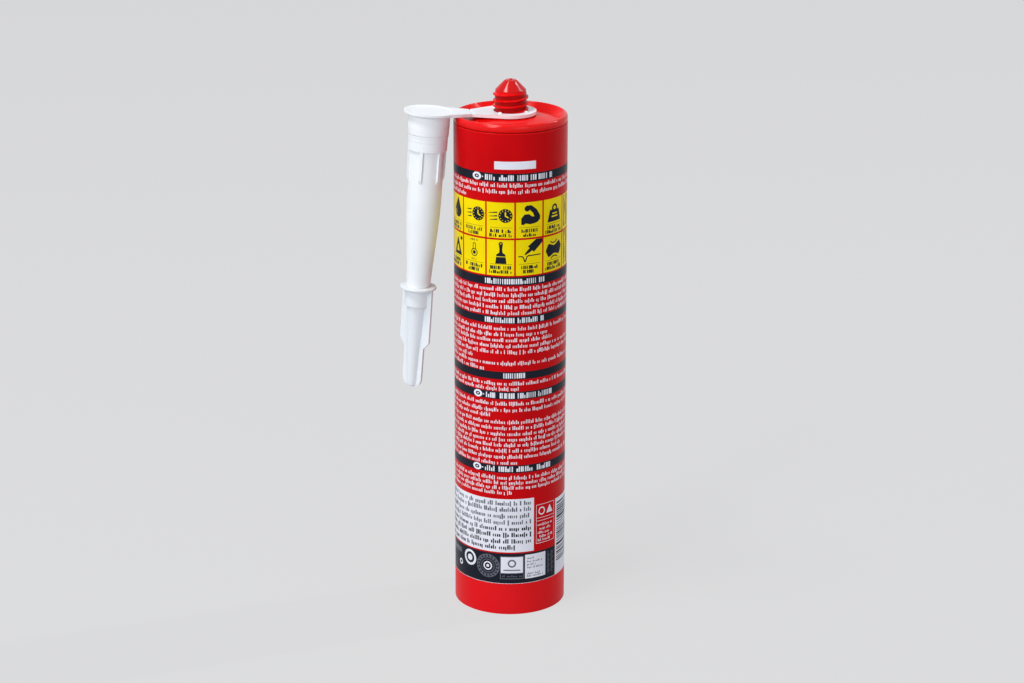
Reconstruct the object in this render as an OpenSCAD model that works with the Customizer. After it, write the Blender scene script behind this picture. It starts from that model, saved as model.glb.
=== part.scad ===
// Sealant cartridge of 50 mm with its nozzle stored on a swivelling holder.
// Millimetres. The cartridge stands on its open foot, Z is its axis and the holder points along -X.

/* [Barrel] */
// Outside diameter of the barrel
barrel_d = 50; // [46:0.5:54]
// Height of the rim's top above the foot
barrel_h = 226.4; // [200:0.2:240]
// Thickness of the barrel's wall
barrel_wall = 1.75; // [1.4:0.05:2.2]
// Extra radius of the open mouth, which leads the piston in
mouth_relief = 0.3; // [0.25:0.05:0.4]
// Depth of the open mouth
mouth_depth = 12; // [8:0.5:16]
// Rounding of the foot's outer edge
foot_round = 0.6; // [0.3:0.1:0.7]

/* [Label] */
// Height of the bare foot below the label
label_bottom = 14.8; // [8:0.2:30]
// Distance from the rim's top down to the label's top edge
label_drop = 4.2; // [4:0.1:12]
// Thickness of the printed film
label_t = 0.14; // [0.08:0.02:0.2]
// Depth of the panel that the film lies in
panel_sink = 0.2; // [0.1:0.05:0.4]

/* [Rim and shoulder] */
// Distance of the rim's crest in from the barrel's surface
rim_inset = 0.8; // [0.5:0.1:1.2]
// Height of the rounding on the rim's outer edge
rim_round_h = 1.9; // [1:0.1:2.2]
// Width of the rim's rounded crest
rim_crest_w = 0.9; // [0.6:0.1:1.4]
// Depth of the shoulder's outer edge below the rim
rim_depth = 3; // [2:0.1:4]
// Width of the slope inside the rim
rim_slope_w = 3.2; // [2:0.1:5]
// Height of the rim's outer band above the groove
rim_band_h = 3.25; // [2.6:0.05:3.6]
// Depth of the groove below the rim's band
groove_depth = 0.5; // [0.3:0.1:0.8]
// Width of the groove
groove_w = 0.5; // [0.3:0.1:0.7]
// Drop from the rim's top to the seat for the holder's ring
seat_drop = 0.45; // [0.3:0.05:1]
// Width of the seat for the holder's ring
seat_w = 1.5; // [1:0.1:2.5]
// Thickness of the shoulder
shoulder_t = 1.7; // [1.2:0.1:2.4]

/* [Neck] */
// Diameter of the neck between the thread's turns
neck_root_d = 13.8; // [13:0.1:14.2]
// Diameter over the thread's crest
thread_d = 15.5; // [15:0.1:16]
// Rise of the thread in one turn
thread_pitch = 2.6; // [2.2:0.1:3]
// Number of turns of the thread
thread_turns = 3.2; // [2:0.1:3.4]
// Height of the thread's top end above the rim
thread_top = 9.4; // [8.8:0.1:9.6]
// Diameter of the plain band above the thread
neck_plain_d = 13.1; // [12:0.1:13.4]
// Height of the plain band's top above the rim
neck_plain_top = 10; // [9.8:0.1:12]
// Height of the flat tip above the rim
tip_top = 14.85; // [14:0.05:18]
// Diameter of the flat tip
tip_d = 4.8; // [4:0.1:6]
// Diameter of the nub that the moulding gate leaves
nub_d = 1.7; // [1:0.1:2.5]
// Height of the nub
nub_h = 0.4; // [0.2:0.1:0.8]
// Diameter of the passage in the neck
neck_bore_d = 10; // [8:0.2:10.6]
// Thickness of the closed tip
tip_t = 1.3; // [0.8:0.1:2]

/* [Piston and fill] */
// Depth of the piston's edge above the foot
piston_depth = 22; // [18:0.5:40]
// Height of the piston's skirt
piston_h = 14; // [12:0.5:20]
// Rise of the piston's crown to its middle
crown_rise = 2.4; // [1:0.1:4]
// Thickness of the piston's skirt and web
piston_wall = 1.6; // [1.2:0.1:2.2]
// Height of each sealing lip
lip_h = 2.6; // [1.8:0.1:3.4]
// Depth of the waist between the sealing lips
waist_depth = 0.6; // [0.3:0.1:1]
// Number of ribs below the web
piston_ribs = 8; // [4:1:12]
// Thickness of the piston's ribs
piston_rib_t = 1.2; // [0.8:0.1:2]
// Height of the piston's ribs
piston_rib_h = 5; // [3:0.5:8]
// Outside diameter of the ring that joins the piston's ribs
piston_hub_d = 12; // [9:0.5:18]
// Running clearance of the piston's lips in the barrel, on the radius
piston_fit = 0.06; // [0.03:0.01:0.1]
// Clearance of the fill on every side
fill_gap = 0.05; // [0.03:0.01:0.15]

/* [Holder] */
// Thickness of the strap
strap_t = 1.4; // [1:0.1:2]
// Diameter of the ring round the neck
ring_d = 22.5; // [21:0.5:24]
// Diameter of the ring's hole
ring_hole_d = 15; // [14.8:0.1:15.6]
// Distance across the small teats in the ring's hole
teat_gap_d = 14.2; // [14.1:0.05:14.6]
// Diameter of each teat
teat_d = 1.8; // [1.2:0.1:2.4]
// Width of the strap at its fold
waist_w = 9.3; // [7:0.1:12]
// Distance of the fold from the neck's axis
fold_at = 17.3; // [15:0.1:19]
// Depth of the groove that makes the fold
fold_groove = 0.5; // [0.2:0.1:0.8]
// Overhang of the disc past the nozzle's collar
disc_overhang = 2.2; // [1.6:0.1:3]
// Width and height of the slope under the disc's edge
disc_bevel_w = 1.1; // [0.4:0.1:1.2]
disc_bevel_h = 0.6; // [0.3:0.1:0.8]
// Depth of the dish in the disc's top
dish_depth = 0.35; // [0.1:0.05:0.6]
// Length of the plug below the disc
plug_h = 8; // [5:0.5:11]
// Thickness of the plug's wall
plug_wall = 1.3; // [0.9:0.1:2]
// Clearance of the plug inside the nozzle's thread, on the radius
plug_fit = 0.06; // [0.04:0.01:0.15]
// Clearance between faces that rest on each other
rest_gap = 0.05; // [0.03:0.01:0.1]
// Gap between the barrel and the stored nozzle's collar
side_gap = 1.7; // [1.2:0.1:4]

/* [Nozzle] */
// Diameter of the collar
collar_d = 18; // [17.6:0.1:19]
// Length of the collar
collar_h = 15.8; // [15:0.1:20]
// Diameter at the collar's lower edge
collar_end_d = 17.1; // [16:0.1:17.3]
// Distance from the mouth to the fine step on the collar
collar_step_at = 9.7; // [6:0.1:12]
// Height of the fine step on the collar
collar_step = 0.15; // [0.05:0.01:0.2]
// Depth of the threaded socket
socket_h = 12.5; // [11:0.5:14]
// Clearance between the neck's thread and the nozzle's, on the radius
thread_fit = 0.15; // [0.1:0.05:0.3]
// Diameter of the spout below the ribs
spout_d = 15.1; // [14:0.1:15.6]
// Distance from the mouth to the end of the straight stretch
straight_end = 36; // [32:0.5:42]
// Distance from the mouth to the start of the steady taper
taper_start = 48; // [44:0.5:54]
// Diameter at the start of the steady taper
taper_start_d = 14.4; // [13.4:0.1:14.8]
// Distance from the mouth to the step before the tip
tip_step_at = 86; // [84:0.5:87]
// Diameter just before that step
spout_end_d = 9.2; // [8.6:0.1:9.6]
// Diameter just after that step
tip_start_d = 7.2; // [6.8:0.1:7.6]
// Length of the spout with its tip
spout_h = 119; // [112:0.5:120]
// Diameter of the tip's end
tip_end_d = 3.4; // [3:0.1:3.8]
// Thickness of the spout's wall
spout_wall = 0.9; // [0.7:0.05:1.1]
// Number of ribs under the collar
spout_ribs = 6; // [3:1:8]
// Thickness of each rib
spout_rib_t = 1.3; // [0.8:0.1:2]
// Length of each rib below the collar
spout_rib_h = 14.4; // [8:0.1:18]
// Length of the slope at each rib's lower end
spout_rib_slope = 2.1; // [0.5:0.1:4]
// Turn of the ribs about the nozzle's axis
spout_rib_turn = -3.5; // [-30:0.5:30]

/* [Nozzle cap] */
// Distance from the nozzle's mouth to the cap's flange
cap_at = 77.4; // [76:0.1:79]
// Diameter of the flange
flange_d = 16.1; // [14:0.1:18]
// Thickness of the flange
flange_t = 1.1; // [0.8:0.1:1.6]
// Diameter of the sleeve below the flange
sleeve_d = 11.5; // [11.4:0.1:12.4]
// Distance from the flange's top to the sleeve's lower edge
sleeve_h = 8.9; // [8.8:0.1:11]
// Diameter of the cone at its start
cap_cone_d = 9.3; // [9.1:0.1:10]
// Diameter of the cone at the rounded end
cap_end_d = 4.8; // [4.6:0.1:5.4]
// Length of the whole cap
cap_h = 46.5; // [45:0.5:50]
// Distance from the flange's top to the corner of the wide wings
wing_h = 25.1; // [18:0.1:30]
// Distance from the flange's top to the end of the wings' slanted edge
wing_slant_end = 28.2; // [27.2:0.1:33]
// Width over the narrow fins
fin_w = 10.5; // [9.5:0.1:12]
// Thickness of the wings and fins
wing_t = 1.1; // [0.8:0.1:1.6]
// Turn of the wings about the nozzle's axis
wing_turn = 47; // [-90:0.5:90]
// Clearance between the cap and the spout
cap_fit = 0.08; // [0.05:0.01:0.12]

/* [Hidden] */
$fn = 96;

red = [0.80, 0.03, 0.06];
white = [0.95, 0.95, 0.94];

barrel_r = barrel_d/2;
bore_r = barrel_r - barrel_wall;
mouth_r = bore_r + mouth_relief;
panel_r = barrel_r - panel_sink;
label_top = barrel_h - label_drop;
rim_out_r = barrel_r - rim_inset;
rim_in_r = rim_out_r - rim_crest_w;
floor_r = rim_in_r - rim_slope_w;
floor_z = barrel_h - rim_depth;
seat_z = barrel_h - seat_drop;
neck_r = neck_root_d/2;
seat_r = neck_r + seat_w;
groove_top = barrel_h - rim_band_h;
thread_r = thread_d/2;
thread_reach = 0.4;
thread_steps = 24;
// Turn of the thread's lower end about the cartridge's axis
thread_start = 308.5 - 360*thread_turns;
// Where the nozzle's own thread starts round its axis, and its number of turns
socket_thread_turn = 7;
socket_turns = (socket_h - 2)/thread_pitch;

// The strap's underside, its slope and the place of the stored nozzle
ring_z = seat_z + rest_gap;
lean = atan((barrel_h + 2*rest_gap - ring_z)/(rim_out_r - fold_at));
holder_reach = barrel_r + side_gap + collar_d/2;
disc_d = collar_d + 2*disc_overhang;
// Start of the strap's sloped part, a little narrower and higher than the flat end that it grows from
lap_x = fold_at - 0.3;
lap_w = waist_w - 0.3;
lap_up = 0.03;
// Circle on the disc's flat underside that the strap's edges run to
strap_root_r = disc_d/2 - disc_bevel_w - 0.2;
socket_thread_r = neck_r + thread_fit;
plug_r = socket_thread_r - plug_fit;
piston_r = bore_r - piston_fit;

// Points on an arc, from angle a0 to a1
function arc(x, y, r, a0, a1, n = 5) =
    [for (i = [0:n]) let (a = a0 + (a1 - a0)*i/n) [x + r*cos(a), y + r*sin(a)]];

// The point where a tangent from the point (d, w) touches a circle of radius r about the origin
function touch(d, w, r) =
    let (a = atan2(w, d) + acos(r/norm([d, w]))) [r*cos(a), r*sin(a)];

// Half-width of the round spout at each distance from its mouth, outside
function spout_outline() = [
    [spout_d/2, collar_h], [spout_d/2, straight_end],
    for (t = [0.25:0.25:1])
        [spout_d/2 - (spout_d - taper_start_d)/2*t*t, straight_end + (taper_start - straight_end)*t],
    [spout_end_d/2, tip_step_at - 0.4],
    [tip_start_d/2, tip_step_at + 0.4],
    [tip_end_d/2, spout_h]];

// Radius of the spout's steady taper at a distance from its mouth
function taper_r(n) = taper_start_d/2
    - (taper_start_d - spout_end_d)/2*(n - taper_start)/(tip_step_at - 0.4 - taper_start);

// A helical ridge of height h on radius r, swept upwards, whose section is a trapezium.
// It runs out to nothing at its top end, and at its lower end too unless it is open there.
module ridge(r, h, turns, open_end = false) {
    n = round(turns*thread_steps);
    runout = thread_steps/4;
    base = 0.73*thread_pitch/2;
    crest = 0.27*thread_pitch/2;
    function grow(i) = min(1, open_end ? 1 : i/runout, (n - i)/runout);
    function at(i, rr, dz) = let (a = 360*i/thread_steps)
        [rr*cos(a), rr*sin(a), thread_pitch*i/thread_steps + dz];
    points = [for (i = [0:n]) let (
            inner = r - thread_reach,
            outer = r + h*grow(i) - thread_reach*(1 - grow(i))/2,
            size = (1 + grow(i))/2)
        each [at(i, inner, -base*size), at(i, outer, -crest*size),
            at(i, outer, crest*size), at(i, inner, base*size)]];
    walls = [for (i = [0:n - 1], k = [0:3]) let (a = 4*i + k, b = 4*i + (k + 1)%4)
        each [[a, b, a + 4], [b, b + 4, a + 4]]];
    polyhedron(points, concat([[3, 2, 1, 0]], walls, [[4*n, 4*n + 1, 4*n + 2, 4*n + 3]]));
}

// The cartridge is one moulding, drawn as the outline of its wall
module cartridge() {
    under_slope = (seat_z - floor_z)/(floor_r - seat_r);
    under_r = bore_r - 2.5;
    // Height of the shoulder's underside at radius r
    function under_z(r) = floor_z - shoulder_t + (floor_r - r)*under_slope;
    neck_bore_r = neck_bore_d/2;
    cone_slope = (neck_plain_d - tip_d)/2/(tip_top - neck_plain_top);
    bevel_r = rim_inset + rim_crest_w/2;
    color(red) {
        rotate_extrude() polygon(concat(
            arc(barrel_r - foot_round, foot_round, foot_round, -90, 0),
            [[barrel_r, label_bottom], [panel_r, label_bottom], [panel_r, label_top],
             [barrel_r, label_top], [barrel_r, groove_top - groove_w - 0.1],
             [barrel_r - groove_depth, groove_top - groove_w], [barrel_r - groove_depth, groove_top]],
            arc(barrel_r - 0.5, groove_top + 0.5, 0.45, -80, 0, 4),
            [for (a = [0:15:90])
                [barrel_r - bevel_r*(1 - cos(a)), barrel_h - rim_round_h*(1 - sin(a))]],
            arc(barrel_r - bevel_r, barrel_h - rim_crest_w/2, rim_crest_w/2, 100, 135, 2),
            [[floor_r + 0.6, floor_z + 0.35], [floor_r, floor_z],
             [seat_r, seat_z], [neck_r, seat_z],
             [neck_r, barrel_h + thread_top - 0.3], [neck_plain_d/2, barrel_h + thread_top],
             [neck_plain_d/2, barrel_h + neck_plain_top]],
            arc(tip_d/2 - 0.5, barrel_h + tip_top - 0.5, 0.5, 45, 90, 3),
            [[nub_d/2, barrel_h + tip_top], [nub_d/2 - 0.2, barrel_h + tip_top + nub_h],
             [0, barrel_h + tip_top + nub_h], [0, barrel_h + tip_top - tip_t],
             [tip_d/2 - tip_t*0.6, barrel_h + tip_top - tip_t],
             [neck_bore_r, barrel_h + tip_top - tip_t - (neck_bore_r - tip_d/2 + tip_t*0.6)/cone_slope],
             [neck_bore_r, under_z(neck_bore_r)], [under_r, under_z(under_r)]],
            arc(under_r, under_z(under_r) - 2.5, 2.5, 70, 0, 5),
            [[bore_r, mouth_depth + 2*mouth_relief], [mouth_r, mouth_depth], [mouth_r, 0]]));
        translate([0, 0, barrel_h + thread_top - thread_pitch*thread_turns]) rotate(thread_start)
            ridge(neck_r, thread_r - neck_r, thread_turns);
    }
}

// Printed film round the barrel, a plain band here
module label() {
    color(red) rotate_extrude() translate([panel_r + rest_gap/2, label_bottom + rest_gap])
        square([label_t, label_top - label_bottom - 2*rest_gap]);
}

module piston() {
    web_z = piston_h - piston_wall;
    skirt_r = piston_r - waist_depth;
    cavity_r = skirt_r - piston_wall;
    color(white) translate([0, 0, piston_depth]) {
        rotate_extrude() polygon([
            [cavity_r, 0], [piston_r - 0.6, 0], [piston_r, 0.8], [piston_r, lip_h - 0.4],
            [skirt_r, lip_h], [skirt_r, piston_h - lip_h - 0.8], [piston_r, piston_h - lip_h],
            [piston_r, piston_h - 0.8], [piston_r - 1.2, piston_h],
            [0, piston_h + crown_rise], [0, web_z + crown_rise], [cavity_r, web_z]]);
        intersection() {
            translate([0, 0, web_z - piston_rib_h]) union() {
                for (i = [0:piston_ribs - 1]) rotate(360*i/piston_ribs)
                    translate([piston_hub_d/2 - piston_wall, -piston_rib_t/2, 0])
                        cube([cavity_r + 0.5 - piston_hub_d/2 + piston_wall, piston_rib_t, piston_h]);
                difference() {
                    cylinder(d = piston_hub_d, h = piston_h);
                    translate([0, 0, -1]) cylinder(d = piston_hub_d - 2*piston_wall, h = piston_h + 2);
                }
            }
            rotate_extrude() polygon([[0, 0], [cavity_r + 0.5, 0], [cavity_r + 0.5, web_z + 0.4],
                [0, web_z + crown_rise + 0.4]]);
        }
    }
}

// The fill between the piston's crown, the wall, the shoulder and the closed tip
module sealant() {
    under_slope = (seat_z - floor_z)/(floor_r - seat_r);
    top_r = bore_r - 4;
    function top_z(r) = floor_z - shoulder_t - 2*fill_gap + (floor_r - r)*under_slope;
    neck_fill_r = neck_bore_d/2 - fill_gap;
    crown_z = piston_depth + piston_h + fill_gap;
    cone_slope = (neck_plain_d - tip_d)/2/(tip_top - neck_plain_top);
    neck_fill_top = barrel_h + tip_top - tip_t - (neck_bore_d/2 - tip_d/2 + tip_t*0.6)/cone_slope;
    color("gainsboro") rotate_extrude() polygon([
        [0, crown_z + crown_rise], [bore_r - fill_gap, crown_z],
        [bore_r - fill_gap, top_z(top_r) - 4], [top_r, top_z(top_r)],
        [neck_fill_r, top_z(neck_fill_r)], [neck_fill_r, neck_fill_top - fill_gap],
        [tip_d/2 - tip_t*0.6, barrel_h + tip_top - tip_t - 3*fill_gap],
        [0, barrel_h + tip_top - tip_t - 3*fill_gap]]);
}

// Puts its children on the sloping outer part of the strap, whose underside is z = 0
module on_slope() {
    translate([-fold_at, 0, ring_z]) rotate([0, lean, 0]) translate([fold_at, 0, 0]) children();
}

// Hangs its children from the disc, with their own Z pointing down the stored nozzle's axis
module hang() {
    on_slope() translate([-holder_reach, 0, -rest_gap]) rotate([180, 0, 0]) children();
}

// One strap, moulded flat: the ring's part lies level and the disc's part slopes up over the rim
module nozzle_holder() {
    ring_touch = touch(fold_at, waist_w/2, ring_d/2);
    disc_touch = touch(holder_reach - lap_x, lap_w/2, strap_root_r);
    color(white) {
        difference() {
            translate([0, 0, ring_z]) linear_extrude(strap_t) difference() {
                union() {
                    circle(d = ring_d);
                    polygon([[-ring_touch[0], ring_touch[1]], [-fold_at, waist_w/2],
                        [-fold_at, -waist_w/2], [-ring_touch[0], -ring_touch[1]]]);
                }
                circle(d = ring_hole_d);
            }
            fold_cut();
        }
        translate([0, 0, ring_z]) linear_extrude(strap_t) intersection() {
            for (a = [45:90:315]) rotate(a) translate([teat_gap_d/2 + teat_d/2, 0]) circle(d = teat_d);
            circle(d = ring_d - 2);
        }
        difference() {
            on_slope() {
                translate([-holder_reach, 0, 0]) rotate_extrude() polygon([
                    [0, 0], [disc_d/2 - disc_bevel_w, 0], [disc_d/2, disc_bevel_h],
                    [disc_d/2, strap_t], [0, strap_t]]);
                translate([0, 0, lap_up]) linear_extrude(strap_t - lap_up) polygon([
                    [-lap_x, lap_w/2], [-holder_reach + disc_touch[0], disc_touch[1]],
                    [-holder_reach + disc_touch[0], -disc_touch[1]], [-lap_x, -lap_w/2]]);
            }
            fold_cut();
            on_slope() translate([-holder_reach, 0, strap_t - dish_depth]) dish();
        }
        on_slope() translate([-holder_reach, 0, 0]) rotate([180, 0, 0]) plug();
    }
}

// The shallow dish that is sunk in the disc's top
module dish() {
    rotate_extrude() polygon([[0, 0], [disc_d/2 - 2.2, 0], [disc_d/2 - 1, dish_depth],
        [disc_d/2 - 1, 1], [0, 1]]);
}

// A groove across the strap's top at the fold
module fold_cut() {
    translate([-fold_at, 0, ring_z + strap_t]) rotate([90, 0, 0])
        linear_extrude(2*waist_w, center = true)
            polygon([[-fold_groove, 0.2], [0, -fold_groove], [fold_groove, 0.2]]);
}

// The hollow plug that the nozzle's socket is pushed on
module plug() {
    translate([0, 0, -0.2]) rotate_extrude() polygon([
        [plug_r - plug_wall, 0], [plug_r, 0], [plug_r, plug_h - 0.8], [plug_r - 0.6, plug_h + 0.2],
        [plug_r - plug_wall, plug_h + 0.2]]);
}

// Spout with its collar, drawn down its own axis from the mouth
module nozzle() {
    color(white) hang() {
        difference() {
            union() {
                rotate_extrude() polygon(concat(
                    [[0, 0], [collar_d/2 - 0.3, 0], [collar_d/2, 0.3], [collar_d/2, collar_h*0.37],
                     [collar_d/2 - 0.2, collar_step_at],
                     [collar_d/2 - 0.2 - collar_step, collar_step_at + 0.05],
                     [collar_end_d/2, collar_h - 0.2], [collar_end_d/2 - 0.2, collar_h]],
                    spout_outline(), [[0, spout_h]]));
                for (i = [0:spout_ribs - 1]) rotate(spout_rib_turn + 360*i/spout_ribs) spout_rib();
            }
            bore();
            translate([0, 0, -thread_pitch/2]) rotate(socket_thread_turn)
                ridge(socket_thread_r, thread_r - neck_r, socket_turns, true);
        }
    }
}

// One rib, with a straight back and a slope at its lower end
module spout_rib() {
    translate([0, spout_rib_t/2, 0]) rotate([90, 0, 0]) linear_extrude(spout_rib_t)
        polygon([[spout_d/2 - 0.5, collar_h - 0.4], [collar_end_d/2 - 0.05, collar_h - 0.4],
            [collar_end_d/2 - 0.2, collar_h + spout_rib_h - spout_rib_slope],
            [spout_d/2 - 0.1, collar_h + spout_rib_h], [spout_d/2 - 0.5, collar_h + spout_rib_h]]);
}

// The passage through the nozzle: socket, wide throat and taper
module bore() {
    throat_r = spout_d/2 - spout_wall;
    rotate_extrude() polygon([
        [0, -1], [socket_thread_r + 0.5, -1], [socket_thread_r + 0.5, 0], [socket_thread_r, 0.5],
        [socket_thread_r, socket_h], [throat_r, socket_h + 2], [throat_r, straight_end],
        [taper_start_d/2 - spout_wall, taper_start],
        [taper_r(tip_step_at - 3) - spout_wall, tip_step_at - 3],
        [tip_start_d/2 - spout_wall, tip_step_at],
        [tip_end_d/2 - spout_wall, spout_h], [tip_end_d/2 - spout_wall, spout_h + 1], [0, spout_h + 1]]);
}

// Closed cap, drawn down the nozzle's axis from its flange
module nozzle_cap() {
    end_r = cap_end_d/2;
    color(white) hang() translate([0, 0, cap_at]) difference() {
        union() {
            rotate_extrude() polygon(concat(
                [[0, 0], [flange_d/2 - 0.3, 0], [flange_d/2, 0.3], [flange_d/2, flange_t - 0.3],
                 [flange_d/2 - 0.3, flange_t], [sleeve_d/2, flange_t], [sleeve_d/2, sleeve_h - 0.3],
                 [sleeve_d/2 - 0.3, sleeve_h], [cap_cone_d/2, sleeve_h]],
                arc(end_r - 1.2, cap_h - 1.2, 1.2, 0, 90), [[0, cap_h]]));
            rotate(wing_turn) wings();
        }
        cap_inside();
    }
}

// Both wings with their narrow fins, as one flat plate with a rounded end
module wings() {
    fin_r = fin_w/2;
    wide = flange_d/2 - 0.05;
    half = concat([[0, flange_t/2], [wide, flange_t/2], [wide, wing_h], [fin_r, wing_slant_end]],
        arc(fin_r - 4, cap_h - 4, 3.85, 0, 90, 8), [[0, cap_h - 0.15]]);
    translate([0, wing_t/2, 0]) rotate([90, 0, 0]) linear_extrude(wing_t) {
        polygon(half);
        mirror([1, 0]) polygon(half);
    }
}

// The cap's hollow, which the spout and its tip fill
module cap_inside() {
    mouth = taper_r(cap_at) + cap_fit;
    rotate_extrude() polygon([
        [0, -1], [mouth, -1], [mouth, 0],
        [spout_end_d/2 + cap_fit, tip_step_at - cap_at - 0.4 + cap_fit],
        [tip_start_d/2 + cap_fit, tip_step_at - cap_at + 0.4 + cap_fit],
        [tip_end_d/2 + cap_fit, spout_h - cap_at + cap_fit], [0, spout_h - cap_at + cap_fit]]);
}

cartridge();
label();
piston();
sealant();
nozzle_holder();
nozzle();
nozzle_cap();
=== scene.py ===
import math
import bmesh
import bpy
import numpy as np
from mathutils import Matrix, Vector


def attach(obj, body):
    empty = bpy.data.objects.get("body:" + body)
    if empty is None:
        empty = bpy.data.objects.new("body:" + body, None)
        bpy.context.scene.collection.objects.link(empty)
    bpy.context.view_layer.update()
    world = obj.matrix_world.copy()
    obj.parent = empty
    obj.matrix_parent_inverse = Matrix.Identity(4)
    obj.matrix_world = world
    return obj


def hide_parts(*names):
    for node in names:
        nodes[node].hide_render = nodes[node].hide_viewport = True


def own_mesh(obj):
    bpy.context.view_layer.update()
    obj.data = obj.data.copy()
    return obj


# Looks for the sealant cartridge. Shapes are worked out in millimetres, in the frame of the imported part,
# and become metres when they are put in a mesh.
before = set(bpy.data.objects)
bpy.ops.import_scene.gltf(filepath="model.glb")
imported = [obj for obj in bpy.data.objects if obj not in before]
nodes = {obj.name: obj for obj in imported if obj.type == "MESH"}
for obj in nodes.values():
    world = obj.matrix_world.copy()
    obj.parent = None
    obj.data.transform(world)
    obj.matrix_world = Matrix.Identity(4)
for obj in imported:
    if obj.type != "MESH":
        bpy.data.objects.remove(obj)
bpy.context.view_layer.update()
metre = 0.001
print("frame loaded:", sorted(nodes))


def tone(red, green, blue):
    # an everyday 0-255 colour as the linear colour that a socket takes: ((c + 0.055)/1.055) to the power 2.4,
    # or c/12.92 for the darkest tones
    shares = (red/255, green/255, blue/255)
    return tuple(c/12.92 if c <= 0.04045 else ((c + 0.055)/1.055)**2.4 for c in shares) + (1.0,)


class Value:
    # wraps a node's output, so that a plain expression adds its Math nodes
    def __init__(self, finish, link):
        self.finish, self.link = finish, link

    def maths(self, operation, *terms):
        return self.finish.node("ShaderNodeMath", dict(operation=operation), terms)

    def __add__(self, other):
        return self.maths("ADD", self, other)

    def __sub__(self, other):
        return self.maths("SUBTRACT", self, other)

    def __rsub__(self, other):
        return self.maths("SUBTRACT", other, self)

    def __mul__(self, other):
        return self.maths("MULTIPLY", self, other)

    __radd__, __rmul__ = __add__, __mul__

    def between(self, low, high):
        # 0 below low and 1 above high, with a smooth step in between
        return self.finish.node("ShaderNodeMapRange", dict(interpolation_type="SMOOTHSTEP"),
                                {"Value": self, "From Min": low, "From Max": high})


class Nodes:
    # a node tree, and the ways to add to it
    def __init__(self, tree):
        self.tree = tree

    def node(self, kind, settings, sockets, output=0):
        made = self.tree.nodes.new(kind)
        for key, value in settings.items():
            setattr(made, key, value)
        for key, value in (sockets.items() if isinstance(sockets, dict) else enumerate(sockets)):
            self.put(made.inputs[key], value)
        return Value(self, made.outputs[output])

    def put(self, socket, value):
        if isinstance(value, Value):
            self.tree.links.new(value.link, socket)
        else:
            socket.default_value = value

    def place(self):
        # the piece's own coordinates, in metres
        return self.node("ShaderNodeTexCoord", {}, {}, "Object")

    def noise(self, scale, detail=2.0, stretch=(1, 1, 1)):
        spot = self.node("ShaderNodeMapping", {}, {"Vector": self.place(), "Scale": stretch})
        return self.node("ShaderNodeTexNoise", {}, {"Vector": spot, "Scale": scale, "Detail": detail})

    def mix(self, factor, first, second):
        return self.node("ShaderNodeMix", dict(data_type="RGBA"), {"Factor": factor, 6: first, 7: second}, 2)

    def bump(self, height, depth):
        return self.node("ShaderNodeBump", {}, {"Height": height, "Strength": 1.0, "Distance": depth})


class Finish(Nodes):
    # one material: its Principled shader and the nodes that feed it
    def __init__(self, name, **fixed):
        self.material = bpy.data.materials.new(name)
        self.material.use_nodes = True
        super().__init__(self.material.node_tree)
        self.shader = self.tree.nodes["Principled BSDF"]
        self.feed(**fixed)

    def feed(self, **sockets):
        for key, value in sockets.items():
            self.put(self.shader.inputs[key.replace("_", " ")], value)


def gridFaces(grids, rows, columns, closed=False):
    # quads of many grids at once, with the corners (i, j), (i, j+1), (i+1, j+1) and (i+1, j); where the grid
    # is closed, its last column joins the first
    i, j = np.meshgrid(np.arange(rows - 1), np.arange(columns if closed else columns - 1), indexing="ij")
    right = (j + 1) % columns
    quads = np.stack([i*columns + j, i*columns + right, (i + 1)*columns + right, (i + 1)*columns + j], -1)
    return (quads.reshape(1, -1, 4) + np.arange(grids)[:, None, None]*rows*columns).reshape(-1, 4)


def joined(*parts):
    # several (points, faces) pairs as one pair
    starts = np.cumsum([0] + [len(points) for points, faces in parts])
    return (np.concatenate([points for points, faces in parts]),
            np.concatenate([faces + start for (points, faces), start in zip(parts, starts)]))


def soften(outline, reach, steps=5):
    # every corner of an outline of (radius, height) points becomes a small curve, a parabola between two
    # points that lie back from the corner by the given reach, or less on short edges
    outline = np.asarray(outline, float)
    before, corner, after = outline[:-2], outline[1:-1], outline[2:]
    back, ahead = before - corner, after - corner
    backLong, aheadLong = np.hypot(*back.T)[:, None], np.hypot(*ahead.T)[:, None]
    first = corner + back/backLong*np.minimum(reach, 0.45*backLong)
    last = corner + ahead/aheadLong*np.minimum(reach, 0.45*aheadLong)
    t = np.linspace(0, 1, steps)[None, :, None]
    curve = (1 - t)**2*first[:, None] + 2*t*(1 - t)*corner[:, None] + t**2*last[:, None]
    return np.concatenate([outline[:1], curve.reshape(-1, 2), outline[-1:]])


def turned(outline, segments, longest):
    # a lathe: each point of the outline goes round Z, as (r cos a, r sin a, z); long edges are cut first, so
    # that no ring of points is far from the next
    outline = np.asarray(outline, float)
    edge = np.hypot(*np.diff(outline, axis=0).T)
    parts = np.maximum(1, np.ceil(edge/longest)).astype(int)
    at = np.repeat(np.arange(len(parts)), parts)
    share = (np.arange(len(at)) - np.repeat(np.cumsum(parts) - parts, parts))/parts[at]
    outline = np.concatenate([outline[at] + share[:, None]*(outline[at + 1] - outline[at]), outline[-1:]])
    angle = np.linspace(0, 2*math.pi, segments, endpoint=False)
    radius, height = outline[:, :1], outline[:, 1:]
    points = np.stack([radius*np.cos(angle), radius*np.sin(angle), height + 0*angle], -1)
    return points.reshape(-1, 3), gridFaces(1, len(outline), segments, True)


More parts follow.
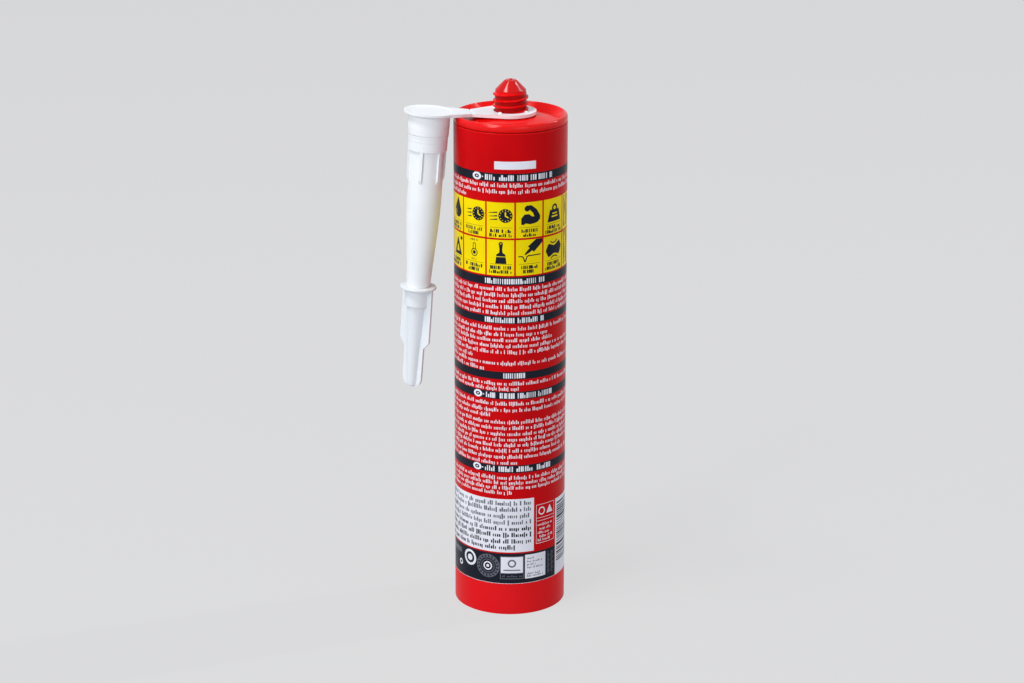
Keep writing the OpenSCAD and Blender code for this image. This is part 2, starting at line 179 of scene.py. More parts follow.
def makePiece(name, points, faces, material, body, slot, closed=False):
    # a mesh from points in millimetres, which rides on a body and takes the given material; the slot argument
    # is not used
    mesh = bpy.data.meshes.new(name)
    mesh.from_pydata((points*metre).tolist(), [], faces.tolist())
    work = bmesh.new()
    work.from_mesh(mesh)
    bmesh.ops.remove_doubles(work, verts=work.verts, dist=1e-6)     # poles and seams are welded
    if closed:
        bmesh.ops.recalc_face_normals(work, faces=work.faces)       # a closed shell's faces turn outwards
    work.to_mesh(mesh)
    work.free()
    mesh.polygons.foreach_set("use_smooth", np.ones(len(mesh.polygons), bool))
    if closed:
        mesh.set_sharp_from_angle(angle=math.radians(35))
    mesh.materials.append(material)
    mesh.update()
    piece = bpy.data.objects.new(name, mesh)
    bpy.context.collection.objects.link(piece)
    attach(piece, body)
    print(name, len(mesh.polygons), "faces")
    return piece


view = dict(place=(-0.21314, -1.09655, 0.48668), target=(0, 0, 0.12159), lens=92.47, sensor=36, roll=0.117,
            shift=0.0018, farthest=20)
room = dict(floor=(200, 200, 201), backdrop=(223, 223, 224), own=0.85, sky=(226, 233, 246), skyLevel=0.34)
# each lamp: its place, what it is aimed at, its width and height in metres, and its watts
lamps = dict(keyLight=((-1.5, -1.3, 1.2), (0, 0, 0.12), 0.7, 1.2, 20),
             topLight=((-0.9, -0.33, 1.98), (0, 0, 0.2), 0.85, 0.42, 21),
             backStrip=((1.47, 0.27, 1.39), (0, 0, 0.2), 0.045, 0.8, 10),
             frontLight=((0.4, -2.0, 0.7), (0, 0, 0.12), 0.9, 0.9, 3))

cameraData = bpy.data.cameras.new("camera")
cameraData.lens = view["lens"]
cameraData.sensor_width = view["sensor"]
cameraData.shift_x = view["shift"]
cameraData.clip_end = view["farthest"]


def aimed(name, data, place, target):
    # an object that stands at one place and looks at another
    made = bpy.data.objects.new(name, data)
    bpy.context.collection.objects.link(made)
    made.location = place
    made.rotation_euler = (Vector(target) - made.location).to_track_quat("-Z", "Y").to_euler()
    return made


camera = aimed("camera", cameraData, view["place"], view["target"])
camera.rotation_euler.rotate_axis("Z", math.radians(view["roll"]))
bpy.context.scene.camera = camera
bpy.context.scene.view_settings.view_transform = "Standard"

for name, (place, target, width, height, watts) in lamps.items():
    softbox = bpy.data.lights.new(name, "AREA")
    softbox.shape = "RECTANGLE"
    softbox.size = width
    softbox.size_y = height
    softbox.energy = watts
    aimed(name, softbox, place, target)


def seenPlain(tree):
    # 1 for the rays that show a thing itself, to the camera or in a gloss, and 0 for those that light others
    rays = [tree.node("ShaderNodeLightPath", {}, {}, kind)
            for kind in ("Is Camera Ray", "Is Glossy Ray", "Is Transmission Ray")]
    return (rays[0] + rays[1] + rays[2]).between(0, 1)


# the sky lights the room softly, and is seen as the backdrop's plain grey
world = bpy.data.worlds.new("studio")
bpy.context.scene.world = world
world.use_nodes = True
sky = Nodes(world.node_tree)
soft = sky.node("ShaderNodeBackground", {}, {"Color": tone(*room["sky"]), "Strength": room["skyLevel"]})
plain = sky.node("ShaderNodeBackground", {}, {"Color": tone(*room["backdrop"]), "Strength": 1.0})
mixed = sky.node("ShaderNodeMixShader", {}, [seenPlain(sky), soft, plain])
sky.put(world.node_tree.nodes["World Output"].inputs["Surface"], mixed)

# the floor shows its own pale grey, and a share of the lamps' light, which keeps the shadow
floorFinish = Finish("paleFloor", Roughness=0.9, Specular_IOR_Level=0.1, Base_Color=tone(*room["floor"]))
plain = floorFinish.node("ShaderNodeEmission", {}, {"Color": tone(*room["backdrop"]), "Strength": 1.0})
lit = Value(floorFinish, floorFinish.shader.outputs[0])
mixed = floorFinish.node("ShaderNodeMixShader", {}, [seenPlain(floorFinish)*room["own"], lit, plain])
floorFinish.put(floorFinish.tree.nodes["Material Output"].inputs["Surface"], mixed)
mesh = bpy.data.meshes.new("floor")
mesh.from_pydata([(-6, -4, 0), (6, -4, 0), (6, 9, 0), (-6, 9, 0)], [], [(0, 1, 2, 3)])
mesh.materials.append(floorFinish.material)
floor = bpy.data.objects.new("floor", mesh)
bpy.context.collection.objects.link(floor)
print("camera, lights and floor ready")


# the printed film: radius is the one that lengths along the label are counted on, turn is where they start,
# and each layer of ink stands one lift above the layer below it
label = dict(radius=25.0, film=24.92, inner=24.895, lift=0.012, bottom=14.85, top=222.15, turn=-101.0,
             sides=360, longest=4, seed=4, stripeSeed=77, red=(206, 0, 8), yellow=(252, 226, 0),
             black=(26, 31, 43), white=(240, 241, 250), grey=(98, 102, 112))


def onBarrel(along, height, lift):
    # a point of the wall from a length along the label and a height above the foot: the angle is the start
    # plus length/radius, and the point is (r cos angle, r sin angle, height)
    angle = math.radians(label["turn"]) + along/label["radius"]
    radius = label["film"] + lift*label["lift"]
    return np.stack([radius*np.cos(angle), radius*np.sin(angle), height + 0*angle], -1)


class Print:
    # one ink, as thin patches laid on the film; lift counts the layers up to the patch
    def __init__(self, name):
        self.name, self.points, self.faces, self.count = name, [], [], 0

    def add(self, grids):
        # grids holds many grids of points, as (grids, rows, columns, 3)
        self.faces.append(gridFaces(*grids.shape[:3]) + self.count)
        self.points.append(grids.reshape(-1, 3))
        self.count += grids[..., 0].size

    def bars(self, left, right, low, high, lift=1, columns=2):
        # rectangles between two arc lengths and two heights, each cut in columns that follow the wall
        left, right, low, high = (np.atleast_1d(np.asarray(v, float)) for v in (left, right, low, high))
        left, right, low, high = np.broadcast_arrays(left, right, low, high)
        share = np.linspace(0, 1, columns)
        along = (left[:, None] + (right - left)[:, None]*share)[:, None, :].repeat(2, 1)
        height = np.stack([low, high], 1)[:, :, None].repeat(columns, 2)
        self.add(onBarrel(along, height, lift))

    def stroke(self, line, lift=2):
        # a stroke along a line of (along, height, half-width): each point of the line goes out to both sides,
        # square to the line, by the half-width
        line = np.asarray(line, float)
        place = np.linspace(0, len(line) - 1, 24)
        path = np.stack([np.interp(place, np.arange(len(line)), line[:, k]) for k in range(3)], 1)
        step = np.gradient(path[:, :2], axis=0)
        side = np.stack([-step[:, 1], step[:, 0]], 1)/np.maximum(np.hypot(*step.T), 1e-9)[:, None]
        spread = np.linspace(1, -1, 7)
        flat = path[:, None, :2] + side[:, None]*(path[:, 2:3]*spread)[:, :, None]
        self.add(onBarrel(flat[..., 0], flat[..., 1], lift)[None])

    def patch(self, first, second, lift=2):
        # the area between two edge lines of (along, height), straight across from one to the other; both go
        # up or to the right, and the first is the left or upper one, so that the faces point outwards
        share = np.linspace(0, 1, 16)
        edges = []
        for line in (np.asarray(first, float), np.asarray(second, float)):
            place = share*(len(line) - 1)
            edges.append(np.stack([np.interp(place, np.arange(len(line)), line[:, k]) for k in range(2)], 1))
        across = np.linspace(0, 1, 12)[None, :, None]
        flat = edges[0][:, None]*(1 - across) + edges[1][:, None]*across
        self.add(onBarrel(flat[..., 0], flat[..., 1], lift)[None])

    def disc(self, along, height, outer, inner=0.0, squeeze=1.0, lift=2, start=0, end=360):
        # a ring or a part of one: (r cos angle, squeeze r sin angle) for radii from outer to inner
        radius = np.linspace(outer, inner, 5 + int(outer - inner))[:, None]
        angle = np.radians(np.linspace(start, end, 49 + int(6*outer)))[None]
        self.add(onBarrel(along + radius*np.cos(angle), height + squeeze*radius*np.sin(angle), lift)[None])

    def words(self, start, end, height, tall, thick, gap, lift, seed, longest=11, high=0.34):
        # a row of small upright bars of two heights, with gaps after groups of random length; high is the
        # share of tall bars
        source = np.random.default_rng(1000*label["seed"] + seed)
        left = np.arange(start, end - thick, thick + gap)
        stops = np.cumsum(source.integers(2, longest, len(left)))
        keep = ~np.isin(np.arange(len(left)), stops)
        left = left[keep]
        top = source.choice([0.62, 1.0], len(left), p=[1 - high, high])*tall
        mostlyLow = high < 0.5
        foot = source.choice([0.0, -0.2], len(left), p=[0.86, 0.14])*tall*mostlyLow
        vary = 0.25 if mostlyLow else 0.4
        wide = thick*source.uniform(1 - vary, 1 + vary, len(left))
        self.bars(left, left + wide, height - tall/2 + foot, height - tall/2 + top, lift)

    def finish(self, material):
        return makePiece(self.name, np.concatenate(self.points), np.concatenate(self.faces), material,
                         "barrel", "label")


yellow = Print("labelYellow")
black = Print("labelBlack")
white = Print("labelWhite")
grey = Print("labelGrey")

# the yellow fields: the thin red line before the first column, the columns' width and number, half the line's
# width, and the low and high edges of the two rows
fields = dict(first=-36.86, pitch=12.97, columns=6, inset=0.38, rows=((176.5, 192.35), (159.65, 175.65)))
columnsAt = fields["first"] + fields["pitch"]*np.arange(fields["columns"] + 1)
infoLeft, infoRight = columnsAt[0], columnsAt[-1]

# white swatch, and the dark bands with their rings and rows of bars
bands = [(201.4, 205.2), (155.1, 159.0), (137.7, 141.1), (112.1, 115.6), (102.8, 106.4), (68.2, 71.8)]
ringBands = [(203.3, 0.0), (104.5, 0.4), (70.0, -0.1)]
plainBands = [(-11.4, 15.7, 157.0), (-11.5, 15.8, 139.3), (-3.0, 7.1, 113.8)]
white.bars(-7.1, 11.3, 207.0, 210.5, 1, 24)
for low, high in bands:
    black.bars(infoLeft, infoRight, low, high, 1, 121)
for number, (height, shift) in enumerate(ringBands):
    white.disc(-15.5 + shift, height, 2.25, 1.15, 0.75)
    white.bars(-15.9 + shift, -15.1 + shift, height - 0.3, height + 0.3, 2)
    white.bars(-12.9 + shift, -12.3 + shift, height - 0.25, height + 0.25, 2)
    for part, (start, end) in enumerate(((-11.4, -5.9), (-5.0, 1.6), (3.0, 11.8), (12.6, 21.0))):
        white.words(start + shift, end + shift, height, 2.5, 0.62, 0.36, 2, 10*number + part, 30, 0.8)
for number, (start, end, height) in enumerate(plainBands):
    white.words(start, end, height, 2.4, 0.62, 0.36, 2, 50 + number, 30, 0.8)

# rows of small bars on the red film: the height of each row, and where the short rows end
rowsAt = [200.0, 197.25, 194.5, 153.6, 150.9, 148.2, 145.45, 142.7, 135.6, 132.9, 130.3, 127.6, 124.8, 122.1,
          119.65, 116.9, 110.25, 107.8, 100.85, 97.9, 95.3, 92.25, 89.5, 86.7, 84.1, 81.5, 78.85, 75.95,
          73.1, 66.0, 63.6, 61.25, 58.9]
shortEnds = {194.5: -22.0, 132.9: 18.7, 130.3: 20.7, 122.1: -17.7, 116.9: -11.8, 107.8: 4.3, 95.3: -8.9,
             78.85: 27.8, 73.1: 3.6, 58.9: 1.6}
for number, height in enumerate(rowsAt):
    white.words(infoLeft, shortEnds.get(height, infoRight), height, 1.75, 0.4, 0.36, 1, 100 + number)

# yellow fields, each with a simple sign, a thin rule and two rows of bars, given by half their lengths
for low, high in fields["rows"]:
    for left, right in zip(columnsAt[:-1], columnsAt[1:]):
        yellow.bars(left + fields["inset"], right - fields["inset"], low, high, 1, 16)
captions = [(-17.2, 4.9, 3.2), (-4.2, 4.8, 5.2), (8.6, 3.8, 3.0), (21.7, 4.2, 5.4), (-30.4, 4.6, 5.0)]
for number, (centre, *halves) in enumerate(captions):
    for top in (181.1, 164.7):
        black.bars(centre - 4.9, centre + 4.9, top, top + 0.13, 2, 12)
        for half, drop, seed in zip(halves, (1.45, 3.35), (200, 300)):
            seed = seed + number + int(top)
            black.words(centre - half, centre + half, top - drop, 1.55, 0.6, 0.26, 2, seed, 12, 0.75)
# ticks in the last column
for along, wide in ((29.5, 1.5), (32.2, 2.2)):
    for height in np.arange(160.6, 191.8, 0.75):
        if abs(height - 176.1) > 1:
            black.bars(along, along + wide + 0.5*math.sin(9*height + along), height, height + 0.52, 2, 3)

# two clocks with speed lines
clockAt = 186.5
for centre, reach in ((-14.9, 1.0), (-2.16, 1.15)):
    black.disc(centre, clockAt, 3.1)
    for angle in np.radians(np.arange(0, 360, 30)):
        yellow.stroke([(centre + 2.15*math.cos(angle), clockAt + 2.15*math.sin(angle), 0.13),
                       (centre + 2.7*math.cos(angle), clockAt + 2.7*math.sin(angle), 0.16)], 3)
    yellow.stroke([(centre, clockAt - 0.2, 0.28), (centre, clockAt + 1.6, 0.28)], 3)
    yellow.stroke([(centre - 0.1, clockAt, 0.28), (centre + 1.3, clockAt - 0.8, 0.28)], 3)
    for height, start in ((188.0, 6.5), (186.4, 6.4), (184.9, 6.0)):
        black.stroke([(centre - start*reach, height - 0.35, 0.1), (centre - 3.6, height, 0.32)])
# bent arm
black.stroke([(7.0, 189.9, 0.9), (8.9, 190.0, 1.0), (10.9, 188.2, 1.15), (12.3, 185.6, 1.3),
              (12.4, 184.4, 1.1)])
black.disc(7.4, 189.5, 1.25)
black.patch([(4.7, 182.5), (4.7, 185.2), (6.2, 187.0), (8.2, 187.0), (9.6, 185.9), (12.6, 186.0)],
            [(5.6, 182.3), (6.8, 182.9), (8.6, 182.5), (10.6, 182.7), (12.2, 183.2), (13.6, 184.6)])
# weight with its ring
black.patch([(17.5, 182.0), (18.9, 187.3)], [(26.1, 182.0), (24.8, 187.3)])
black.disc(21.9, 188.0, 1.75, 0.85)
yellow.bars(20.0, 23.9, 183.9, 184.6, 3, 6)
yellow.bars(20.4, 23.5, 185.3, 185.9, 3, 6)
# drop with a glint
black.disc(-28.6, 185.3, 3.0)
black.stroke([(-28.6, 186.3, 2.75), (-28.2, 191.4, 0.1)])
yellow.disc(-29.6, 185.2, 1.2, 0.7, 1.0, 3, 150, 270)
# hollow triangle with a dot
black.patch([(-32.0, 165.5), (-28.9, 173.2)], [(-25.2, 165.5), (-28.3, 173.2)])
black.disc(-25.6, 173.3, 0.8)
yellow.patch([(-29.9, 167.0), (-29.0, 169.9)], [(-27.3, 167.0), (-28.2, 169.9)], 3)
# thermometer
black.disc(-16.95, 168.8, 1.75, 1.35)
black.disc(-16.95, 168.8, 0.8)
black.stroke([(-17.6, 170.3, 0.17), (-17.6, 172.5, 0.17), (-17.3, 173.0, 0.17), (-16.6, 173.0, 0.17),
              (-16.3, 172.5, 0.17), (-16.3, 170.3, 0.17)])
black.words(-19.2, -14.6, 174.6, 0.8, 0.3, 0.25, 2, 401)
black.words(-18.4, -15.6, 165.9, 0.8, 0.3, 0.25, 2, 402)
# brush
black.disc(-4.15, 173.9, 0.95)
black.stroke([(-4.15, 174.0, 0.9), (-4.15, 171.5, 0.62), (-4.15, 169.9, 0.75), (-4.15, 169.5, 1.5),
              (-4.15, 169.0, 2.0), (-4.15, 168.3, 2.1)])
black.stroke([(-4.15, 168.0, 2.1), (-4.15, 164.95, 2.5)])
yellow.disc(-4.15, 174.0, 0.3, lift=3)
# cartridge over a groove
black.patch([(7.7, 172.6), (11.6, 175.6), (13.2, 175.6)], [(10.5, 169.9), (14.7, 173.9), (14.7, 175.6)])
black.stroke([(9.2, 171.3, 0.8), (8.0, 170.3, 0.7), (6.4, 168.9, 0.25)])
black.stroke([(3.5, 168.2, 0.26), (4.9, 168.2, 0.26), (5.6, 167.9, 0.26), (6.45, 165.4, 0.26),
              (7.3, 168.0, 0.26), (8.0, 168.4, 0.26), (13.7, 168.6, 0.26)])
# stretched piece
black.patch([(16.7, 169.6), (18.2, 172.4), (21.7, 171.0), (25.3, 173.0), (26.8, 170.5)],
            [(16.7, 168.9), (18.2, 166.1), (21.7, 167.7), (25.3, 166.6), (26.8, 169.8)])
black.stroke([(19.3, 173.3, 0.26), (20.4, 172.4, 0.26), (22.3, 172.5, 0.26), (23.6, 173.6, 0.26)])
black.stroke([(19.6, 165.4, 0.26), (20.8, 166.3, 0.26), (22.6, 166.4, 0.26), (23.9, 165.7, 0.26)])

# white panel with grey and dark rows of bars
white.bars(infoLeft, 11.2, 30.15, 55.7, 1, 60)
for number, height in enumerate((53.7, 50.8, 47.7, 44.6)):
    grey.words(infoLeft, 10.1, height, 2.1, 0.6, 0.32, 2, 500 + number)
for number, (height, end) in enumerate(((41.6, 10.1), (38.6, 10.1), (35.5, 10.1), (32.6, 2.95))):
    black.words(infoLeft, end, height, 2.1, 0.6, 0.34, 2, 520 + number)
# outlined box with a ring, a triangle and rows of bars
for height in (33.2, 44.0, 45.4, 51.7):
    white.bars(12.35, 22.85, height - 0.1, height + 0.1, 1, 12)
for along in (12.35, 22.75):
    white.bars(along, along + 0.18, 33.1, 51.8, 1, 2)
white.disc(15.3, 48.6, 1.75, 1.25, 1.1, 1)
white.patch([(17.9, 46.9), (19.8, 50.5)], [(21.9, 46.9), (20.0, 50.5)], 1)
for number, height in enumerate((42.2, 40.2, 38.3, 36.4, 34.7)):
    white.words(13.2 + number % 2, 22.0 - number % 3, height, 1.2, 0.35, 0.3, 1, 540 + number)
# dark stripes on white at the right
white.bars(24.0, infoRight, 14.95, 52.0, 1, 28)
stripe = np.random.default_rng(label["stripeSeed"])
edges = 20.6 + np.cumsum(stripe.choice([0.4, 0.55, 0.8, 1.2], 90, p=[0.4, 0.3, 0.2, 0.1]))
edges = edges[edges < 51.2]
black.bars(25.1, infoRight - 1.5, edges[:-1:2], edges[1::2], 2, 24)

# dark strip along the bottom with its plain signs
black.bars(infoLeft, 23.9, 14.95, 29.5, 1, 94)
white.disc(-20.0, 24.9, 3.75, lift=2)
black.disc(-20.0, 24.9, 2.6, 1.5, lift=3)
# a ring of slanted ticks round two thinner rings and a dot
wheelAlong, wheelAt = -10.2, 23.0
grey.disc(wheelAlong, wheelAt, 5.65, 3.9, lift=2)
for angle in np.radians(np.arange(0, 360, 20)):
    black.stroke([(wheelAlong + 4.2*math.cos(angle), wheelAt + 4.2*math.sin(angle), 0.3),
                  (wheelAlong + 5.2*math.cos(angle + 0.12), wheelAt + 5.2*math.sin(angle + 0.12), 0.3)], 3)
grey.disc(wheelAlong, wheelAt, 3.3, 2.9, lift=2)
white.disc(wheelAlong, wheelAt, 2.1, 1.5, lift=2)
white.disc(wheelAlong, wheelAt, 0.7, lift=2)
# framed panel with a ring, and a pale panel with rows of bars
grey.bars(-4.4, 6.4, 17.1, 28.2, 2, 14)
white.bars(-4.0, 6.0, 20.1, 27.8, 3, 14)
black.bars(-4.0, 6.0, 17.5, 19.7, 3, 14)
grey.bars(-2.9, 4.9, 21.2, 21.7, 4, 10)
grey.words(-3.4, 5.4, 18.6, 1.0, 0.4, 0.3, 4, 560)
grey.disc(1.0, 24.7, 1.9, 1.2, lift=4)
white.bars(7.0, 17.5, 17.0, 28.6, 2, 14)
panelRows = [(26.9, 12.0), (25.3, 15.6), (23.9, 12.6), (22.4, 16.2), (19.4, 14.6), (18.3, 16.4)]
for number, (height, end) in enumerate(panelRows):
    grey.words(8.0, end, height, 0.9, 0.3, 0.25, 3, 570 + number)
# two columns of ticks, and small signs at the left
for along in (18.6, 20.9):
    for height in np.arange(17.6, 27.8, 0.66):
        grey.bars(along, along + 1.3 + 0.4*math.sin(7*height + along), height, height + 0.34, 2, 3)
grey.bars(infoLeft, -26.4, 25.0, 27.4, 2, 8)
white.disc(-26.9, 20.6, 1.4, 0.7, lift=2)

# plain face on the far side
faceLeft, faceRight = infoRight + 6.0, infoRight + 73.0
emblemAlong = (infoLeft + infoRight)/2 + math.pi*label["radius"]
yellow.bars(faceLeft, faceRight, 150.0, 192.35, 1, 104)
black.bars(faceLeft, faceRight, 143.0, 148.6, 1, 104)
white.bars(faceLeft, faceRight, 139.6, 141.2, 1, 104)
black.stroke([(faceLeft + 12, 171.2, 9.5), (faceLeft + 34, 171.2, 9.5)])
yellow.disc(faceLeft + 23, 171.2, 6.0, 4.4, lift=3)
white.disc(emblemAlong, 92.0, 12.0, 10.2, lift=1)
white.disc(emblemAlong, 92.0, 6.2, lift=1)
black.bars(faceLeft, faceRight, 14.95, 29.5, 1, 104)
white.words(faceLeft + 6, faceRight - 6, 24.6, 2.4, 0.8, 0.5, 2, 600)
white.words(faceLeft + 12, faceRight - 12, 20.4, 1.8, 0.5, 0.4, 2, 601)
# the film's pale cut edges
white.bars(0, 2*math.pi*label["radius"], 14.88, 15.12, 1, 240)
white.bars(infoLeft - 1.6, infoLeft - 1.45, 15.1, 222.1, 1, 2)


def ink(name, colour):
    # printed film: satin, with a faint cloud in the tone and a slow ripple
    made = Finish(name, Specular_IOR_Level=0.08)
    cloud = made.noise(60, 3).between(0.3, 0.7)
    dark = tuple(0.9*c for c in tone(*colour)[:3]) + (1.0,)
    made.feed(Base_Color=made.mix(cloud, dark, tone(*colour)),
              Roughness=made.noise(240, 2)*0.14 + 0.24,
              Normal=made.bump(made.noise(90, 1, (1, 1, 0.25)), 0.00003))
    return made.material


tube = [(label["inner"], label["bottom"]), (label["film"], label["bottom"]), (label["film"], label["top"]),
        (label["inner"], label["top"]), (label["inner"], label["bottom"])]
film = makePiece("labelFilm", *turned(tube, label["sides"], label["longest"]), ink("redFilm", label["red"]),
                 "barrel", "label", True)
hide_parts("label")
yellow.finish(ink("yellowInk", label["yellow"]))
black.finish(ink("blackInk", label["black"]))
white.finish(ink("whiteInk", label["white"]))
grey.finish(ink("greyInk", label["grey"]))
print("label printed")


# the darkest red is painted shade for the thread's valleys and the groove under the rim
reds = dict(head=(234, 12, 10), foot=(228, 22, 30), cone=(196, 0, 4), paintedShade=(104, 0, 2), specular=0.09,
            coatRoughness=0.07, roughness=0.36, headGloss=0.22)
# where each part of the moulding fades in, in metres of height, or of radius where the name says so; the
# thread, crest and groove zones bound the painted shade in the thread's valleys and under the rim
zones = dict(head=(0.220, 0.2225), cone=(0.2362, 0.2366), rim=(0.2240, 0.2243), rimRadius=(0.0232, 0.0235),
             threadFoot=(0.2262, 0.2268), threadTop=(0.2346, 0.2352), crestRadius=(0.0069, 0.0075),
             grooveShadeFoot=(0.22258, 0.22268), grooveShadeTop=(0.22308, 0.22318))

redPlastic = Finish("redPlastic", Specular_IOR_Level=reds["specular"], Coat_Roughness=reds["coatRoughness"])
spot = redPlastic.place()
height = redPlastic.node("ShaderNodeSeparateXYZ", {}, [spot], "Z")
flat = redPlastic.node("ShaderNodeVectorMath", dict(operation="MULTIPLY"), [spot, (1, 1, 0)])
radius = redPlastic.node("ShaderNodeVectorMath", dict(operation="LENGTH"), [flat], "Value")
# each of these is 1 on its part of the moulding and 0 elsewhere
head = height.between(*zones["head"])
cone = height.between(*zones["cone"])
rim = height.between(*zones["rim"])*radius.between(*zones["rimRadius"])
# painted shade: the thread's valleys and the groove under the rim get a darker red, for the shade that falls
# in them
threaded = height.between(*zones["threadFoot"])*(1 - height.between(*zones["threadTop"]))
valleyShade = threaded*(1 - radius.between(*zones["crestRadius"]))
grooveShade = height.between(*zones["grooveShadeFoot"])*(1 - height.between(*zones["grooveShadeTop"]))
cloud = redPlastic.noise(45, 3).between(0.3, 0.7)
surface = redPlastic.mix(cloud*0.3 + head*0.7, tone(*reds["foot"]), tone(*reds["head"]))
# painted shade: the cone gets a darker red than the rest of the same red moulding
surface = redPlastic.mix(cone*0.8, surface, tone(*reds["cone"]))
redPlastic.feed(Base_Color=redPlastic.mix(valleyShade*0.6 + grooveShade*0.65, surface, tone(*reds["paintedShade"])),
                Roughness=reds["roughness"] - head*reds["headGloss"] + redPlastic.noise(300, 2)*0.06,
                Coat_Weight=cone*0.35 + rim*0.3,
                Normal=redPlastic.bump(redPlastic.noise(700, 2), 0.00003))

whites = dict(light=(244, 247, 249), shade=(240, 244, 247), capLight=(234, 238, 242),
              capShade=(230, 235, 240), specular=0.4, roughness=0.27, capRoughness=0.3)
pistonTones = dict(light=(232, 231, 226), shade=(222, 222, 216), roughness=0.42)


def moulded(name, light, shade, roughness, cloud=(50, 2), grain=260, **fixed):
    # a plastic whose tone goes between two colours in a soft cloud, and whose gloss varies in a fine grain
    made = Finish(name, **fixed)
    made.feed(Base_Color=made.mix(made.noise(*cloud).between(0.3, 0.7), tone(*light), tone(*shade)),
              Roughness=made.noise(grain, 2)*0.1 + roughness)
    return made


whitePlastic = moulded("whitePlastic", whites["light"], whites["shade"], whites["roughness"],
                       Specular_IOR_Level=whites["specular"])
whitePlastic.feed(Normal=whitePlastic.bump(whitePlastic.noise(160, 2, (1, 1, 0.3)), 0.00003))

# the nozzle's collar has two fine ledges, counted in metres along its leaning axis from the socket's face;
# the second number of each is its share of the step
spout = dict(start=(-0.035652, 0, 0.22733), down=(-0.0722743, 0, -0.9973848), step=0.0004, edge=0.0003,
             ledges=((0.0085, 0.4), (0.0114, 0.2)))
nozzlePlastic = moulded("nozzlePlastic", whites["light"], whites["shade"], whites["roughness"],
                        Specular_IOR_Level=whites["specular"])
offset = nozzlePlastic.node("ShaderNodeVectorMath", dict(operation="SUBTRACT"),
                            [nozzlePlastic.place(), spout["start"]])
along = nozzlePlastic.node("ShaderNodeVectorMath", dict(operation="DOT_PRODUCT"), [offset, spout["down"]],
                           "Value")
ledges = sum(along.between(ledge, ledge + spout["edge"])*share for ledge, share in spout["ledges"])
nozzlePlastic.feed(Normal=nozzlePlastic.bump(1 - ledges, spout["step"]))

capPlastic = moulded("capPlastic", whites["capLight"], whites["capShade"], whites["capRoughness"],
                     Specular_IOR_Level=whites["specular"])
capPlastic.feed(Normal=capPlastic.bump(capPlastic.noise(120, 2, (1, 1, 0.3)), 0.00004))
pistonPlastic = moulded("pistonPlastic", pistonTones["light"], pistonTones["shade"], pistonTones["roughness"],
                        (80, 3), 300)
pistonPlastic.feed(Normal=pistonPlastic.bump(pistonPlastic.noise(500, 2), 0.00003))

for name, finish in (("cartridge", redPlastic), ("nozzle_holder", whitePlastic), ("nozzle", nozzlePlastic),
                     ("nozzle_cap", capPlastic), ("piston", pistonPlastic)):
    nodes[name].data.materials.clear()
    nodes[name].data.materials.append(finish.material)

# the cartridge's moulding: its wall outside and inside, as outlines of (radius, height)
shell = dict(wall=24.97, panel=24.89, bore=23.25, mouth=23.55, neck=6.9, passage=5, soft=0.13, innerSoft=0.5,
             sides=320, longest=12)
rimRound = [(23.8 + 1.17*math.cos(t), 224.5 + 1.9*math.sin(t)) for t in np.linspace(0, math.pi/2, 9)]
outside = [(shell["mouth"], 0), (shell["wall"], 0), (shell["wall"], 14.8), (shell["panel"], 14.86),
           (shell["panel"], 222.16), (shell["wall"], 222.22), (shell["wall"], 222.6),
           (24.52, 222.68), (24.5, 223.1), (24.92, 223.2), *rimRound, (23.5, 226.32), (23.3, 226.1),
           (21.3, 224.15), (20.9, 223.65), (20.55, 223.6), (20.4, 223.82), (20.1, 223.85),
           (8.4, 225.95), (shell["neck"], 225.95), (shell["neck"], 235.4), (6.72, 235.6), (6.72, 236.65),
           (2.95, 240.5), (2.3, 240.9), (0.85, 240.95), (0.68, 241.35), (0, 241.35)]
shoulderRound = [(20.75 + 2.5*math.cos(t), 219.0 + 2.5*math.sin(t)) for t in np.linspace(1.25, 0, 8)]
inside = [(0, 239.95), (1.62, 239.95), (shell["passage"], 236.3), (shell["passage"], 224.9), *shoulderRound,
          (shell["bore"], 12.6), (shell["mouth"], 12), (shell["mouth"], 0)]
# the thread on the neck: root lies inside the neck's wall, sunk is how far the crest drops at both ends
thread = dict(root=6.5, crest=7.75, foot=227.32, pitch=2.6, turns=3.2, start=236.5, spread=0.9, runOut=0.25,
              sunk=0.85, along=260, across=15)


def threadRidge():
    # a ridge round the neck: it climbs by the pitch in each turn, its section is a smooth hump, and over a
    # quarter turn at both ends it runs out in the neck's wall
    turns = np.linspace(0, thread["turns"], thread["along"])[:, None]
    grow = np.clip(np.minimum(turns, thread["turns"] - turns)/thread["runOut"], 0, 1)
    t = np.linspace(-1, 1, thread["across"])[None]
    hump = np.clip((1 - np.abs(t))/0.8, 0, 1)
    hump = hump*hump*(3 - 2*hump)
    raised = grow > 0
    radius = thread["root"] + (thread["crest"] - thread["root"] - thread["sunk"]*(1 - grow))*hump*raised
    height = thread["foot"] + thread["pitch"]*turns + thread["spread"]*t*(1 + grow)/2*raised
    angle = math.radians(thread["start"]) + 2*math.pi*turns
    points = np.stack([radius*np.cos(angle), radius*np.sin(angle), height], -1)
    return points.reshape(-1, 3), gridFaces(1, thread["along"], thread["across"], True)


# both walls have the same number of sides, so that they close at the mouth
moulding = joined(turned(soften(outside, shell["soft"]), shell["sides"], shell["longest"]),
                  turned(soften(inside, shell["innerSoft"]), shell["sides"], shell["longest"]), threadRidge())
cartridgeShell = makePiece("cartridgeShell", *moulding, redPlastic.material, "barrel", "cartridge", True)
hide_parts("cartridge")
print("cartridge moulded")

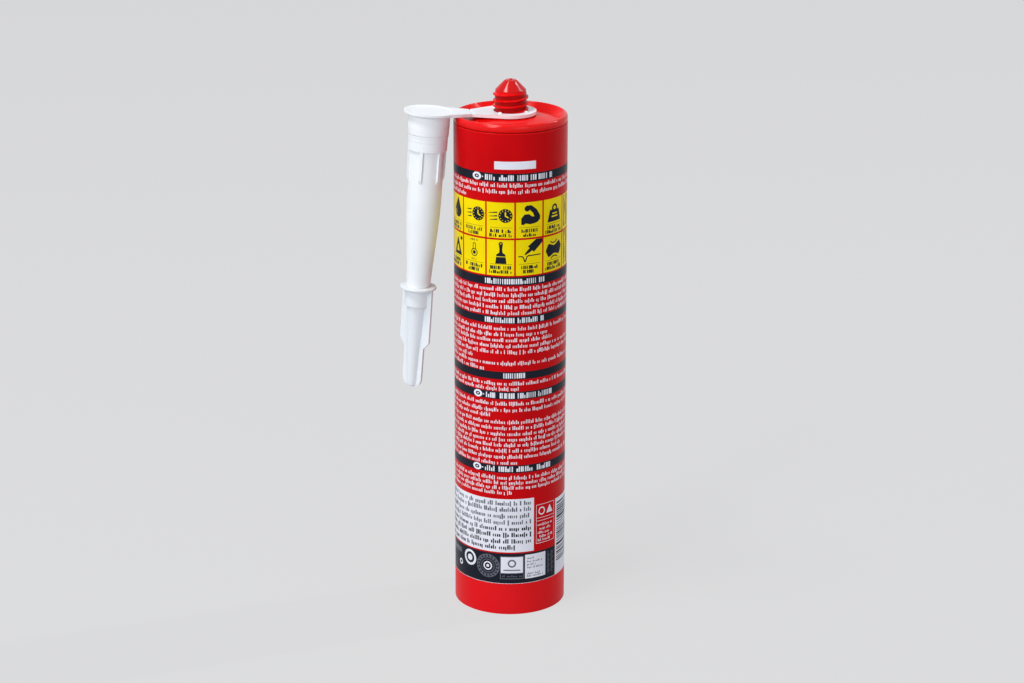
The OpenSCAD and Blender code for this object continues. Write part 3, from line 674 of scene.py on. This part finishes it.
# four small teats that lap over the edge of the ring's hole
teats = dict(number=4, ring=8.15, top=227.3, radius=0.95, height=0.75, first=45.0, rings=7, sides=20)
rise = np.linspace(0, math.pi/2, teats["rings"])[:, None]
around = np.linspace(0, 2*math.pi, teats["sides"], endpoint=False)
angle = np.radians(teats["first"] + 360/teats["number"]*np.arange(teats["number"]))[:, None, None]
# each one is a dome: its radius falls with the cosine of the rise and its height grows with the sine; a first
# ring of no radius closes its foot
reach = teats["radius"]*np.concatenate([[[0.0]], np.cos(rise)])
lifted = teats["height"]*np.concatenate([[[0.0]], np.sin(rise)])
dome = np.stack([teats["ring"]*np.cos(angle) + reach*np.cos(around),
                 teats["ring"]*np.sin(angle) + reach*np.sin(around),
                 teats["top"] + lifted + 0*around + 0*angle], -1)
faces = gridFaces(teats["number"], teats["rings"] + 1, teats["sides"], True)
makePiece("ringTeats", dome.reshape(-1, 3), faces, whitePlastic.material, "holder", "white_plastic", True)

# the paste that the piston pushes out
fill = dict(radius=23.15, bottom=36.1, crown=38.5, wallTop=217.5, shoulder=(19.2, 221.3), neck=4.9,
            neckFoot=224.6, neckTop=234.5, end=239.7, tip=1.5, soft=0.4, pushedTo=222.95, left=0.002,
            sides=96, longest=12, light=(226, 226, 222), shade=(216, 216, 212), roughness=0.35)
paste = Finish("paste", Roughness=fill["roughness"])
paste.feed(Base_Color=paste.mix(paste.noise(120, 3), tone(*fill["light"]), tone(*fill["shade"])),
           Normal=paste.bump(paste.noise(200, 3), 0.0002))
outline = [(0, fill["crown"]), (fill["radius"], fill["bottom"]), (fill["radius"], fill["wallTop"]),
           fill["shoulder"], (fill["neck"], fill["neckFoot"]), (fill["neck"], fill["neckTop"]),
           (fill["tip"], fill["end"]), (0, fill["end"])]
pasteFill = makePiece("pasteFill", *turned(soften(outline, fill["soft"]), fill["sides"], fill["longest"]),
                      paste.material, "barrel", "sealant", True)
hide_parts("sealant")
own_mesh(pasteFill)
print("plastics and fill ready")
